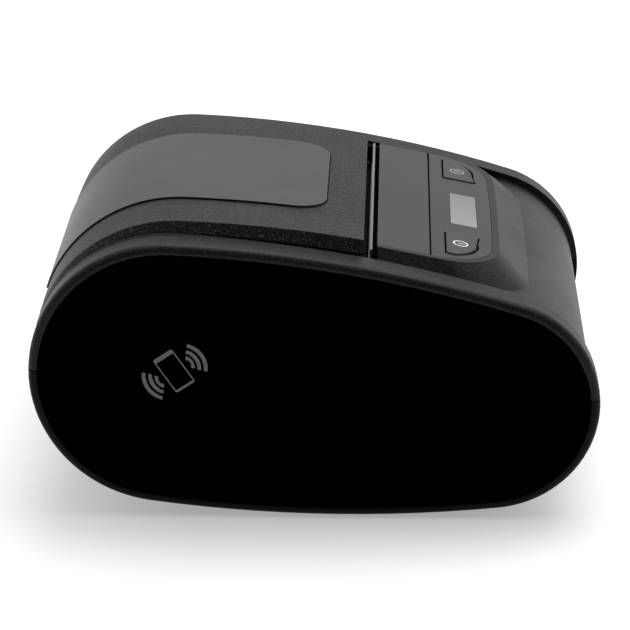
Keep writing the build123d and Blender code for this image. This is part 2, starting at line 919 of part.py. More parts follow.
def stepper_motor():
    x, z = pinion_place()
    face = cheek_inner - 1.7
    motor = rod(x, z, motor_radius, face - motor_length, face)
    motor += rod(x, z, 3.5, face, cheek_inner)
    motor += block(x + 6, x + motor_radius + 2.5, face - motor_length + 2, face - 4, z - 4, z + 4)
    return motor


def print_chassis():
    """Folded steel frame: two cheeks, a back plate between them and feet on the case."""
    cheek = polygon(
        (chassis_rear_x, chassis_foot_z),
        (chassis_rear_x + chassis_length, chassis_foot_z),
        (chassis_rear_x + chassis_length, platen_z - 14),
        (chassis_back_x + cheek_thickness, platen_z - 9),
        (chassis_back_x + cheek_thickness, cheek_top_z),
        (platen_x + 7.7, cheek_top_z),
        (platen_x + 7.7, platen_z - 7),
        (chassis_rear_x, platen_z - 7),
    )
    cheek -= Pos(head_pivot_x, head_pivot_z) * Circle(head_pivot_radius)
    far = prism(cheek, cheek_inner, cheek_inner + cheek_thickness)
    x, z = pinion_place()
    far -= rod(x, z, 2.2, 0, clear)
    near = prism(cheek, -cheek_inner - cheek_thickness, -cheek_inner)
    back = block(
        chassis_back_x,
        chassis_back_x + cheek_thickness,
        -cheek_inner - 0.1,
        cheek_inner + 0.1,
        platen_z - 8.4,
        cheek_top_z,
    )
    for y in (-30, -10, 10, 30):
        back -= block(chassis_back_x - 10, chassis_back_x + 10, y - 4, y + 4, platen_z - 5.5, platen_z - 2.5)
    return far + near + back


def head_pivot_pin():
    return rod(head_pivot_x, head_pivot_z, head_pivot_radius, -cheek_inner - cheek_thickness, cheek_inner + cheek_thickness)


def printhead_heatsink():
    """Aluminium bar with cooling ribs on its back and two ears on the pivot pin."""
    x0 = head_face_x + ceramic_thickness
    bar = block(x0, head_back_x, -head_half_width, head_half_width, head_base_z, head_top_z)
    for row in range(4):
        z = head_base_z + 1.6 + row * 1.9
        bar -= block(head_back_x - 0.9, head_back_x + 1, -clear, clear, z, z + 0.9)
    arm = polygon(
        (x0, head_base_z + 0.2),
        (head_back_x, head_base_z + 1.6),
        (head_pivot_x + 1.4, head_pivot_z + 1.4),
        (head_pivot_x - 1.3, head_pivot_z - 1.8),
        (x0 + 0.6, head_base_z - 1.4),
    )
    for side in (-1, 1):
        y = side * (head_half_width - head_ear_inset)
        bar += rod(head_pivot_x, head_pivot_z, 2.3, y - 2, y + 2) + prism(arm, y - 2, y + 2)
    bar -= rod(head_pivot_x, head_pivot_z, head_pivot_radius + pivot_fit, -clear, clear)
    return bar


def printhead_ceramic():
    return block(head_face_x, head_face_x + ceramic_thickness, -head_half_width, head_half_width, head_base_z, head_top_z)


def head_springs():
    """Two pressure springs on the back plate, behind the print head."""
    coil = Circle(spring_radius - spring_wire)
    spring = extrude(Plane.YZ.offset(chassis_back_x - spring_length) * coil, amount=spring_length)
    turn_pitch = (spring_length - spring_wire) / (spring_turns - 1)
    for turn in range(spring_turns):
        x = chassis_back_x - spring_wire - turn * turn_pitch
        spring += extrude(Plane.YZ.offset(x) * Circle(spring_radius), amount=spring_wire)
    height = platen_z + spring_rise
    return Pos(0, -spring_y, height) * spring + Pos(0, spring_y, height) * spring


def catch_springs():
    """Leaf springs beside the platen shaft that snap over it when the lid shuts."""
    bend = (platen_x + platen_shaft_radius + 0.35, platen_z + 2.3)
    line = Polyline(
        (platen_x + 3.9, platen_z - 13.5),
        (platen_x + 3.5, platen_z - 7),
        (platen_x + 2.7, platen_z - 2),
        bend,
        (platen_x + 3.3, platen_z + 4.2),
    )
    leaf = offset(line, 0.25)
    leaf = make_face(leaf) if leaf.faces() == [] else leaf
    return both_sides(leaf, cheek_inner - 1.0, cheek_inner)


def tear_bar():
    """Steel strip with a saw edge across the slot, with its foot under the strip's wall."""
    count = int(2 * tear_bar_half_width / tear_tooth_pitch)
    start = -count * tear_tooth_pitch / 2
    root = tear_bar_top_z - tear_tooth_height
    points = [(start, tear_bar_base_z), (start, root)]
    for tooth in range(count):
        y = start + tooth * tear_tooth_pitch
        points.append((y + tear_tooth_pitch / 2, tear_bar_top_z))
        points.append((y + tear_tooth_pitch, root))
    points.append((-start, tear_bar_base_z))
    saw = make_face(Polyline(*points, close=True))
    blade = extrude(Plane.YZ.offset(tear_bar_x) * saw, amount=tear_bar_thickness)
    foot_top = tear_bar_base_z + tear_bar_thickness
    foot = block(tear_bar_x, tear_bar_x + tear_bar_foot, -head_half_width, head_half_width, tear_bar_base_z, foot_top)
    return blade + foot


def front_strip():
    shape = Pos((platform_rear_u - plate_seam) / 2, 0) * Rectangle(
        -platform_rear_u - plate_seam, 2 * (panel_half_width - plate_fit)
    )
    return on_platform(shape, -plate_thickness, 0)


def button_shape(side, grow):
    """Button outline: straight on two sides, bowed along the edge of the control panel."""
    rear = button_u - button_length / 2 - grow
    front = button_u + button_length / 2 + grow
    inner = button_inner_v - grow
    outer = button_outer_v + grow
    edges = [
        Line((rear, inner), (front, inner)),
        Line((front, inner), (front - 0.6, inner + 5)),
        ThreePointArc((front - 0.6, inner + 5), (front - 2.9, outer - 2.6), (rear + 2.5, outer)),
        Line((rear + 2.5, outer), (rear, outer - 0.4)),
        Line((rear, outer - 0.4), (rear, inner)),
    ]
    face = make_face(edges)
    return face if side > 0 else mirror(face, Plane.XZ)


def display_frame(grow):
    return Pos(display_u, display_v) * RectangleRounded(display_length + 2 * grow, display_width + 2 * grow, 0.4 + grow)


def control_panel():
    half = panel_half_width - plate_fit
    outline = d_outline(plate_seam, panel_front_u - plate_fit, half, panel_bow, panel_corner_radius)
    panel = on_platform(outline, -plate_thickness, 0)
    panel -= on_platform(display_frame(display_fit), -3, 1)
    for side in (-1, 1):
        panel -= on_platform(button_shape(side, button_gap), -3, 1)
    return panel


def display_window():
    return on_platform(display_frame(0), -plate_thickness, 0)


def display_module():
    """Display glass on its small carrier, pressed up to the window."""
    glass = Pos(display_u, display_v) * Rectangle(9.5, 30)
    carrier = Pos(display_u, display_v) * Rectangle(10.6, 32)
    return on_platform(glass, -plate_thickness - 1.5, -plate_thickness) + on_platform(carrier, -3.9, -2.9)


def button_cap(side):
    """Key cap with a rim under the panel and a stem down to its switch."""
    cap = on_platform(button_shape(side, 0), -2.2, button_proud)
    top_face = cap.faces().sort_by(Axis((0, 0, 0), platform_plane.z_dir))[-1]
    cap = chamfer(top_face.edges(), 0.2)
    cap += on_platform(button_shape(side, button_rim), -2.4, -plate_thickness - 0.1)
    stem = Pos(button_u, side * stem_v) * Circle(1.6)
    return cap + on_platform(stem, -button_height, -2.2)


def key_board():
    """Board under the control panel, with a step away from the display."""
    board = Pos(display_u, 0) * RectangleRounded(11.0, 2 * button_outer_v, 1.5)
    return on_platform(board, -8.4, -7.2)


def tact_switches():
    """Two switches; each plunger stops just under its button."""
    switches = None
    for side in (-1, 1):
        middle = Pos(button_u, side * stem_v)
        switch = on_platform(middle * Rectangle(6, 6), -7.2, -5.4)
        switch += on_platform(middle * Circle(1.3), -5.4, -button_height - button_travel - 0.1)
        switches = switch if switches is None else switches + switch
    return switches


def paper_bucket():
    """Open trough under the roll, with end walls and slots for the guide legs."""
    def trough(radius, top):
        return Pos(bucket_x, bucket_z) * Circle(radius) + Pos(bucket_x, (bucket_z + top) / 2) * Rectangle(
            2 * radius, top - bucket_z
        )

    rim_z = bucket_z + bucket_rim_rise
    outer = trough(bucket_radius + bucket_wall, rim_z)
    below = polygon((-clear, 0), (clear, 0), (clear, rim_z), (-clear, rim_z))
    shell = prism((outer & below) - trough(bucket_radius, rim_z + 4), -bucket_end, bucket_end)
    end = trough(bucket_radius + bucket_wall, bucket_z + bucket_end_rise) & egg(wall + 0.4)
    bucket = shell + both_sides(end, bucket_end, bucket_end + bucket_end_wall)
    for side in (-1, 1):
        middle = bucket_x + side * (rack_pitch_radius + rack_offset)
        reach = guide_inner + guide_thickness + leg_fit
        stop = guide_inner - guide_travel - leg_fit
        y0, y1 = (-reach, -stop) if side < 0 else (stop, reach)
        half = leg_half_width + leg_fit
        bucket -= block(middle - half, middle + half, y0, y1, 0, bucket_z - 19)
    return bucket


def paper_apron():
    """Sloping plate that leads the paper from the bucket up to the print head."""
    start, end = apron_line()
    low = 1.4
    profile = polygon(
        (start[0], start[1]),
        (start[0], start[1] - 3.0),
        (start[0] + 1.4, start[1] - 3.0),
        (end[0], end[1] - low),
        end,
    )
    apron = prism(profile, -apron_half_width, apron_half_width)
    x, z = sensor_place()
    apron -= block(x - 3.2, x + 3.2, -sensor_travel - 5.3, sensor_travel + 5.3, z - 8, z + 8)
    return apron


def apron_line():
    """Ends of the paper's path over the apron, from the bucket's edge to the print head."""
    return (bucket_x + bucket_radius + bucket_wall, bucket_z + 3.0), (platen_x + 3.4, platen_z - 6.8)


def sensor_place():
    """Middle of the gap sensor on the apron."""
    start, end = apron_line()
    return (start[0] + (end[0] - start[0]) * 0.52, start[1] + (end[1] - start[1]) * 0.52)


def gap_sensor():
    """Small reflective sensor in a slot of the apron."""
    x, z = sensor_place()
    tilt = bearing(*apron_line())
    body = Pos(x, 0, z - 1.0) * Rot(0, -tilt, 0) * Box(5.2, 9, 2.4)
    return body


def rack(side):
    """Toothed bar of one paper guide; its gaps face the pinion."""
    pitch = pi * gear_module
    pitch_x = bucket_x + side * rack_pitch_radius + side * mesh_slack
    tip = pitch_x - side * 0.85 * gear_module
    root = pitch_x + side * 1.1 * gear_module
    back = pitch_x + side * rack_back
    far = side * (guide_inner + guide_thickness)
    near = -side * (guide_travel / 5)
    points = [(back, far), (root, far)]
    steps = int((guide_travel + 3) / pitch) + 2
    for tooth in range(steps, -2, -1):
        y = side * (tooth + 0.5) * pitch
        points.append((root, y + side * 0.32 * pitch))
        points.append((tip, y + side * 0.12 * pitch))
        points.append((tip, y - side * 0.12 * pitch))
        points.append((root, y - side * 0.32 * pitch))
    points.append((root, near))
    points.append((back, near))
    return extrude(Plane.XY.offset(rack_bottom_z) * make_face(Polyline(*points, close=True)), amount=rack_height)


def paper_guide(side):
    """Side plate with a core hub, a leg through the bucket floor and its rack."""
    y0 = guide_inner
    disc = Pos(bucket_x, guide_centre_z) * Circle(guide_radius)
    disc -= Pos(bucket_x, guide_centre_z + guide_radius) * Rectangle(14, 14)
    leg_x = bucket_x + side * (rack_pitch_radius + rack_offset)
    leg_z = guide_centre_z - guide_radius + 5
    leg = Pos(leg_x, (rack_bottom_z + leg_z) / 2) * Rectangle(2 * leg_half_width, leg_z - rack_bottom_z)
    plate = prism(disc + leg, y0, y0 + guide_thickness)
    for turn in range(30, 360, 60):
        hole = point_at((bucket_x, guide_centre_z), 11.2, turn)
        if hole[1] < guide_centre_z + 8:
            plate -= rod(hole[0], hole[1], 2.2, 0, clear)
    hub = tube(bucket_x, guide_centre_z, hub_radius, hub_radius - 1.6, y0 - hub_height, y0 + 0.2)
    plate += hub
    if side < 0:
        plate = mirror(plate, Plane.XZ)
    return plate + rack(side)


def guide_pinion():
    gear = gear_profile(rack_pinion_teeth, 1.55, 0)
    return extrude(Plane.XY.offset(rack_bottom_z) * (Pos(bucket_x, 0) * gear), amount=rack_height)


def battery_pack():
    """Pack in the bottom of the case; its underside follows the belly."""
    pack = block(battery_x0, battery_x1, -battery_half_width, battery_half_width, 0, battery_top_z)
    pack &= prism(egg(0.3), -clear, clear)
    pack = fillet(pack.edges().filter_by(Axis.Z), 1.2)
    low = latch_floor_z()
    pack -= block(battery_x0 - 1, battery_x0 + 2.4, 1.2 - latch_half_width, latch_half_width - 1.2, low, low + 2.9)
    return pack


def battery_latch():
    """Sliding catch with a ribbed thumb plate in the floor and a tongue into the pack."""
    front = battery_x0 - 2.2
    rear = front - 8.9
    low = belly_z(rear)
    top = latch_floor_z()
    thumb = block(rear, front, -latch_half_width, latch_half_width, low, top + 0.2)
    for rib in range(4):
        x = rear + 1.2 + rib * 1.6
        thumb -= block(x, x + 0.7, -latch_half_width + 1.5, latch_half_width - 1.5, low - 1, low + 0.4)
    carriage = block(rear - 2, front, -latch_half_width - 2.5, latch_half_width + 2.5, top + 0.1, top + 1.4)
    tongue = block(front - 1.9, battery_x0 + 1.9, -latch_half_width + 2.0, latch_half_width - 2.0, top + 0.2, top + 2.5)
    return thumb + carriage + tongue


def latch_floor_z():
    """Inside of the floor where the latch slides."""
    return belly_z(battery_x0 - 15) + wall


def main_board():
    board = block(board_x0, board_x1, -board_half_width, board_half_width, board_z, board_z + board_thickness)
    for x, y in board_holes():
        board -= post(x, y, 1.2, 0, clear)
    return board


def board_parts():
    """Chips, a crystal and capacitors on the main board."""
    top = board_z + board_thickness
    parts = block(board_x1 - 14, board_x1 - 4, -12, -2, top, top + 1.4)
    parts += block(board_x1 - 12, board_x1 - 5, -26, -18, top, top + 1.2)
    parts += block(board_x1 - 10, board_x1 - 6, 4, 12, top, top + 2.4)
    parts += post(board_x1 - 6, 18, 3.0, top, top + 7.5)
    parts += post(board_x1 - 14, 7 - board_half_width + 2, 3.0, top, top + 7.5)
    parts += block(board_x0 + 2, board_x0 + 7, 12 - board_half_width, 24 - board_half_width, top, top + 1.2)
    return parts


def charge_port():
    """Data and charging connectors at the far side, side by side on the board's edge."""
    shell = prism(Pos(port_x - 5, port_z) * RectangleRounded(9.0, 3.4, 1.6), board_half_width, side_wall_inner + 1.2)
    shell -= prism(Pos(port_x - 5, port_z) * RectangleRounded(8.2, 2.6, 1.2), board_half_width + 2, clear)
    jack = rod(port_x + 5, port_z, 3.2, board_half_width, side_wall_inner + 1.2)
    jack -= tube(port_x + 5, port_z, 2.4, 0.8, board_half_width + 2, clear)
    base = block(
        port_x - 10, port_x + 9.4, board_half_width - 6, board_half_width + 3, board_z + board_thickness, port_z
    )
    return shell + jack + base


def port_cover():
    """Soft cover pressed into the window; it turns on the round bead along its rear edge."""
    bead = port_cover_thickness / 2
    edge = port_x - port_length / 2 + port_cover_gap
    cover = port_window(-port_cover_gap, half_width - port_cover_thickness, half_width)
    cover -= block(edge - 1, edge + bead, 0, clear, 0, clear)
    bead_half = port_height / 2 - port_cover_gap - 1.0
    return cover + post(edge + bead, half_width - bead, bead, port_z - bead_half, port_z + bead_half)


def nfc_tag():
    disc = rod(tag_x, tag_z, tag_radius, -cover_face - tag_thickness, -cover_face)
    return disc - rod(tag_x, tag_z, tag_radius - tag_loop, -clear, 0)


def feet():
    pads = None
    for x, y in foot_places():
        pad = post(x, y, foot_radius, 0, foot_height)
        pad = chamfer(pad.faces().sort_by(Axis.Z)[0].edges(), 0.4)
        pads = pad if pads is None else pads + pad
    return pads


def case_screws():
    screws = None
    for x, y in screw_places():
        seat = screw_seat_z(x)
        screw = post(x, y, screw_radius - 2 * screw_fit, seat, parting_z(x) + screw_bite)
        head = post(x, y, screw_head_radius, seat - screw_head_height, seat)
        head -= Pos(x, y, seat - screw_head_height) * Box(2.6, 0.6, 1.6)
        head -= Pos(x, y, seat - screw_head_height) * Box(0.6, 2.6, 1.6)
        screw += head
        screws = screw if screws is None else screws + screw
    return screws


hull = body_hull()
peg_holes = cover_peg_holes()
parts = {
    "lower_case": lower_case(hull) - peg_holes,
    "upper_case": upper_case(hull) - peg_holes,
    "left_side_cover": side_cover(-1),
    "right_side_cover": side_cover(1),
    "lid_cover": lid_cover(),
    "lid_insert_panel": lid_insert_panel(),
    "hinge_pin": hinge_pin(),
    "platen_rubber": platen_rubber(),
    "platen_shaft": platen_shaft(),
    "platen_gear": platen_gear(),
    "platen_bushings": platen_bushings(),
    "platen_carrier": platen_carrier(),
    "idler_gear": idler_gear(),
    "idler_pin": idler_pin(),
    "motor_pinion": motor_pinion(),
    "stepper_motor": stepper_motor(),
    "print_chassis": print_chassis(),
    "head_pivot_pin": head_pivot_pin(),
    "printhead_heatsink": printhead_heatsink(),
    "printhead_ceramic": printhead_ceramic(),
    "head_springs": head_springs(),
    "catch_springs": catch_springs(),
    "tear_bar": tear_bar(),
    "front_strip": front_strip(),
    "control_panel": control_panel(),
    "display_window": display_window(),
    "display_module": display_module(),
    "power_button": button_cap(-1),
    "feed_button": button_cap(1),
    "key_board": key_board(),
    "tact_switches": tact_switches(),
    "paper_bucket": paper_bucket(),
    "paper_apron": paper_apron(),
    "gap_sensor": gap_sensor(),
    "left_paper_guide": paper_guide(-1),
    "right_paper_guide": paper_guide(1),
    "guide_pinion": guide_pinion(),
    "battery_pack": battery_pack(),
    "battery_latch": battery_latch(),
    "main_board": main_board(),
    "board_parts": board_parts(),
    "charge_port": charge_port(),
    "port_cover": port_cover(),
    "nfc_tag": nfc_tag(),
    "feet": feet(),
    "case_screws": case_screws(),
}

os.makedirs("parts", exist_ok=True)
for name, shape in parts.items():
    export_step(shape, f"parts/{name}.step")
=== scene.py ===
import json
from math import cos, radians, sin

import bpy
from mathutils import Matrix, Vector

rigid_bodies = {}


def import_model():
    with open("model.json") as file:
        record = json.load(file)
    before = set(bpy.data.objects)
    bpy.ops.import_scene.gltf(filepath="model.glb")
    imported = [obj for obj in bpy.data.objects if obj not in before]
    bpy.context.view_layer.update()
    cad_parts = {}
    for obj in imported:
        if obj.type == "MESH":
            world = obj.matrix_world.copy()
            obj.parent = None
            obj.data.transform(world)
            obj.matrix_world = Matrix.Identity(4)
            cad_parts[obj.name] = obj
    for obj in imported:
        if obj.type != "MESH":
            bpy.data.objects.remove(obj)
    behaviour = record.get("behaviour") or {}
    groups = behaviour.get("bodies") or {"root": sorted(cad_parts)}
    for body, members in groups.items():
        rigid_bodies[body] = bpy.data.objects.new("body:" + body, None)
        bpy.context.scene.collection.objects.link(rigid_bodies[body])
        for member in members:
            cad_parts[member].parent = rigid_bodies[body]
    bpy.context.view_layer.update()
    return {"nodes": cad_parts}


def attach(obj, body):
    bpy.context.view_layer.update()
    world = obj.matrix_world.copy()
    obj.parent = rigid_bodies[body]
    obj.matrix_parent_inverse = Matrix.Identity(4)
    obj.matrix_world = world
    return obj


for leftover in list(bpy.data.objects):
    bpy.data.objects.remove(leftover)
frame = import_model()
nodes = frame["nodes"]
bpy.ops.object.select_all(action="DESELECT")

# Upper and lower case
# The two shells of the body, injection moulded in black plastic with a fine spark-eroded texture.
# They meet at the parting line and are held by four screws from below.


class Wire:
    """An outlet of a node tree; sums with it add Math nodes."""

    def __init__(self, tree, socket):
        self.tree = tree
        self.socket = socket

    def other(self, outlet):
        """Another outlet of the same node."""
        return Wire(self.tree, self.socket.node.outputs[outlet])

    def maths(self, operation, first, second=0.0):
        return self.tree.node("ShaderNodeMath", {"operation": operation}, {0: first, 1: second})

    def __add__(self, other):
        return self.maths("ADD", self, other)

    def __radd__(self, other):
        return self.maths("ADD", other, self)

    def __sub__(self, other):
        return self.maths("SUBTRACT", self, other)

    def __rsub__(self, other):
        return self.maths("SUBTRACT", other, self)

    def __mul__(self, other):
        return self.maths("MULTIPLY", self, other)

    def __rmul__(self, other):
        return self.maths("MULTIPLY", other, self)

    def __gt__(self, other):
        return self.maths("GREATER_THAN", self, other)

    def __lt__(self, other):
        return self.maths("LESS_THAN", self, other)

    def __abs__(self):
        return self.maths("ABSOLUTE", self)

    def or_more(self, other):
        return self.maths("MAXIMUM", self, other)

    def length_with(self, other):
        """Length of a line that goes this far one way and other far across it."""
        return self.maths("SQRT", self * self + other * other)


class Tree:
    """A node tree with one method that adds its nodes."""

    def __init__(self, tree):
        self.tree = tree

    def feed(self, socket, value):
        if isinstance(value, Wire):
            self.tree.links.new(value.socket, socket)
        else:
            socket.default_value = value

    def node(self, kind, settings=None, inputs=None, outlet=0):
        made = self.tree.nodes.new(kind)
        for setting, value in (settings or {}).items():
            setattr(made, setting, value)
        for socket, value in (inputs or {}).items():
            self.feed(made.inputs[socket], value)
        return Wire(self, made.outputs[outlet])


class Finish(Tree):
    """A procedural material round one Principled shader, read from Object coordinates."""

    def __init__(self, name, colour, roughness, **constants):
        self.material = bpy.data.materials.new(name)
        self.material.use_nodes = True
        super().__init__(self.material.node_tree)
        self.shader = self.tree.nodes["Principled BSDF"]
        self.colour = colour
        self.roughness = roughness
        for socket, value in constants.items():
            self.feed(self.shader.inputs[socket.replace("_", " ")], value)
        self.place = self.node("ShaderNodeTexCoord", outlet="Object")

    def noise(self, size, detail=2.0, roughness=0.5, stretch=(1, 1, 1)):
        """Noise whose features are about size metres wide."""
        place = self.node("ShaderNodeMapping", None, {"Vector": self.place, "Scale": stretch})
        inputs = {"Vector": place, "Scale": 1 / size, "Detail": detail, "Roughness": roughness}
        return self.node("ShaderNodeTexNoise", None, inputs)

    def cells(self, size):
        """Rounded cells about size metres wide."""
        inputs = {"Vector": self.place, "Scale": 1 / size}
        return self.node("ShaderNodeTexVoronoi", {"feature": "SMOOTH_F1"}, inputs)

    def spread(self, value, start, end, low, high):
        """The part of a value from start to end, spread over low to high."""
        inputs = {"Value": value, "From Min": start, "From Max": end, "To Min": low, "To Max": high}
        return self.node("ShaderNodeMapRange", None, inputs)

    def axes(self):
        """The three object coordinates, in metres."""
        split = self.node("ShaderNodeSeparateXYZ", None, {0: self.place})
        return [split.other(axis) for axis in range(3)]

    def mix(self, share, first, second):
        colours = {"data_type": "RGBA"}
        return self.node("ShaderNodeMix", colours, {0: share, 6: first, 7: second}, outlet=2)

    def vary(self, wander=0.15, blotch=0.02):
        """Colour and roughness that drift a little over the surface."""
        drift = self.noise(blotch, detail=3.0)
        low = [part * (1 - wander) for part in self.colour] + [1]
        high = [part * (1 + wander) for part in self.colour] + [1]
        self.base = self.mix(drift, low, high)
        self.feed(self.shader.inputs["Base Color"], self.base)
        rough = self.spread(drift, 0.3, 0.7, self.roughness * 0.93, self.roughness * 1.07)
        self.feed(self.shader.inputs["Roughness"], rough)
        return self

    def glint_specks(self, size, bright, start=0.5):
        """Fine light specks, painted glints on the tips of a spark-eroded grain, where noise passes start.
        """
        grain = self.noise(size, detail=2.0, roughness=0.7)
        fade = 0.16
        specks = self.spread(grain, start, start + fade, 0.0, 1.0)
        return self.print_on(specks, (bright, bright, bright))

    def print_on(self, mask, colour):
        """Lays a printed colour over the base where mask is 1."""
        self.base = self.mix(mask, self.base, list(colour) + [1])
        self.feed(self.shader.inputs["Base Color"], self.base)
        return self

    def bump(self, height, depth, base=None):
        """Relief of depth metres where height runs from 0 to 1."""
        inputs = {"Height": height, "Distance": depth, "Strength": 1.0}
        if base is not None:
            inputs["Normal"] = base
        normal = self.node("ShaderNodeBump", None, inputs)
        self.feed(self.shader.inputs["Normal"], normal)
        return self

    def rounded(self, radius):
        """Normals of edges broken by radius metres, as a mould leaves them."""
        return self.node("ShaderNodeBevel", {"samples": 4}, {"Radius": radius})

    def grained(self, size, depth, edge=0.0):
        """Fine moulded grain, with the edges broken too where edge is given."""
        grain = self.noise(size, detail=2.0, roughness=0.55)
        return self.bump(grain, depth, self.rounded(edge) if edge else None)

    def dress(self, *names):
        """Puts the finish on CAD nodes."""
        for name in names:
            for slot in nodes[name].material_slots:
                slot.material = self.material
        return self


# Light specks painted on both shells are painted glints on the tips of the grain.
case_plastic = Finish("case_plastic", (0.003, 0.003, 0.0032), 0.45, Specular_IOR_Level=0.16)
case_plastic.vary().glint_specks(0.00045, 0.030).grained(0.00035, 0.00003, edge=0.0003)
case_plastic.dress("upper_case")
# The lower case is a darker copy of the case plastic, with fainter specks and less gloss: painted shade on
# the lower part of the body.
shaded_lower_plastic = Finish("shaded_lower_plastic", (0.0015, 0.0015, 0.0016), 0.5, Specular_IOR_Level=0.08)
shaded_lower_plastic.vary().glint_specks(0.00045, 0.008).grained(0.00035, 0.00003, edge=0.0003)
shaded_lower_plastic.dress("lower_case")

# Side covers and the phone sign
# Flat matt black plates pressed into each side of the case on four pegs. The near one is printed with a
# sign of a phone and radio waves, over the near-field tag behind it.
# The side plates are black plastic, given a colour darker than the case plastic and no gloss as painted
# shade on the unlit side faces.
side_black_and_shade = (0.0006, 0.0006, 0.0006)
side_plastic = Finish("side_plastic", side_black_and_shade, 0.7, Specular_IOR_Level=0.0)
side_plastic.vary().grained(0.0003, 0.000008)
side_plastic.dress("right_side_cover")

sign_plastic = Finish("sign_plastic", side_black_and_shade, 0.7, Specular_IOR_Level=0.0)
sign_plastic.vary().grained(0.0003, 0.000008)
sign_middle = (-0.033915, 0.039115)
sign_turn = radians(33.7)
sign_x, sign_y, sign_z = sign_plastic.axes()
sign_across = (sign_x - sign_middle[0]) * cos(sign_turn) + (sign_z - sign_middle[1]) * sin(sign_turn)
sign_along = (sign_z - sign_middle[1]) * cos(sign_turn) - (sign_x - sign_middle[0]) * sin(sign_turn)


def rounded_box(across, along, half_across, half_along, corner):
    """1 inside a rectangle with round corners."""
    outside_across = (abs(across) - (half_across - corner)).or_more(0.0)
    outside_along = (abs(along) - (half_along - corner)).or_more(0.0)
    return outside_across.length_with(outside_along) < corner


def wave(across, along, radius, spread, stroke):
    """1 on an arc about the origin that opens towards +across, with round ends."""
    on_ring = (abs(across.length_with(along) - radius) < stroke / 2) * (across > radius * cos(spread))
    end = (across - radius * cos(spread)).length_with(abs(along) - radius * sin(spread))
    return on_ring.or_more(end < stroke / 2)


phone_body = rounded_box(sign_across, sign_along - 0.0003, 0.00284, 0.00509, 0.0006)
phone_screen = rounded_box(sign_across, sign_along - 0.00005, 0.00252, 0.00421, 0.00005)
sign_mask = phone_body - phone_screen
wave_offset = 0.00204
wave_stroke = 0.00095
wave_across = abs(sign_across) - wave_offset
for wave_radius, wave_spread in ((0.0028, 25), (0.0043, 35), (0.0059, 38)):
    ripple = wave(wave_across, sign_along, wave_radius, radians(wave_spread), wave_stroke)
    sign_mask = sign_mask.or_more(ripple)
printed_face_y = -0.0545
sign_plastic.print_on(sign_mask * (sign_y < printed_face_y), (0.20, 0.20, 0.20))
sign_plastic.dress("left_side_cover")

# Lid
# Hinged cover of the roll compartment, moulded in black plastic with a coarse grain, with light specks
# painted on as painted glints of the grain that show on its steep sides. It swings on the pin along the rear
# of the case.
lid_plastic = Finish("lid_plastic", (0.001, 0.001, 0.001), 0.5, Specular_IOR_Level=0.18)
# The light specks are painted glints on the grain.
lid_plastic.vary().glint_specks(0.0005, 0.065, 0.53)
lid_fine = lid_plastic.noise(0.0004, detail=2.0, roughness=0.6)
lid_coarse = lid_plastic.cells(0.0007)
lid_plastic.bump(lid_fine * 0.6 + lid_coarse, 0.00011, lid_plastic.rounded(0.0003))
lid_plastic.dress("lid_cover")

# Lid insert
# Smooth satin panel let into the lid and wrapped over its back; it snaps in from above and stands a
# little proud of the grain.
insert_plastic = Finish("insert_plastic", (0.006, 0.006, 0.0064), 0.42, Specular_IOR_Level=0.42)
insert_plastic.vary(0.2, 0.03).grained(0.00022, 0.000006, edge=0.00025)
insert_plastic.dress("lid_insert_panel")

# Front strip and control panel
# Two smooth satin plates let into the platform in front of the paper slot, moulded in black plastic and
# glued on a ledge of the case.
panel_plastic = Finish("panel_plastic", (0.005, 0.005, 0.0053), 0.42, Specular_IOR_Level=0.34)
panel_plastic.vary(0.2, 0.03).grained(0.00022, 0.000006, edge=0.0002)
panel_plastic.dress("front_strip", "control_panel")

# Buttons
# Satin keys under the control panel, each printed with a pale sign: a ring with a bar to switch on and a
# ring with a paper mark to feed.
platform_slope = radians(11.6)
ring_radius = 0.00178
ring_half_stroke = 0.00019


def key_finish(name, middle_x, middle_y):
    """Key plastic, a ring about a point as a mask, and its two coordinates for more marks."""
    key = Finish(name, (0.006, 0.006, 0.0064), 0.42, Specular_IOR_Level=0.38)
    key.vary().grained(0.00022, 0.000006, edge=0.0003)
    key_x, key_y = key.axes()[:2]
    along = (key_x - middle_x) * (1 / cos(platform_slope))
    across = key_y - middle_y
    ring = abs(along.length_with(across) - ring_radius) < ring_half_stroke
    return key, ring, along, across


power_key, power_ring, power_along, power_across = key_finish("power_key", 0.0359, -0.0288)
power_bar = (abs(power_across) < 0.00016) * (abs(power_along - 0.0002) < 0.0009)
power_key.print_on(power_ring.or_more(power_bar), (0.85, 0.85, 0.85))
power_key.dress("power_button")
feed_key, feed_ring, feed_along, feed_across = key_finish("feed_key", 0.0360, 0.0287)
feed_bar = (abs(feed_along) < 0.0009) * (abs(abs(feed_across) - 0.0005) < 0.00018)
feed_key.print_on(feed_ring.or_more(feed_bar), (0.30, 0.30, 0.30))
feed_key.dress("feed_button")

# Display
# Frosted window glued into the control panel over a switched-off display cell on its carrier, painted a
# little lighter at its near end and darker at its far end: painted light and shade.
window_glass = Finish("window_glass", (0.20, 0.20, 0.205), 0.35, Specular_IOR_Level=0.5)
window_glass.vary(0.04)
window_near_y = -0.0138
window_width = 0.0240
window_share = (window_glass.axes()[1] - window_near_y) * (1 / window_width)
# Painted light and shade: the window's colour fades from lighter at its near end to darker at its far end.
window_painted_light = window_glass.mix(window_share, (0.24, 0.24, 0.245, 1), (0.15, 0.15, 0.155, 1))
window_glass.feed(window_glass.shader.inputs["Base Color"], window_painted_light)
window_glass.dress("display_window")
display_cell = Finish("display_cell", (0.35, 0.37, 0.35), 0.3)
display_cell.vary(0.05).dress("display_module")

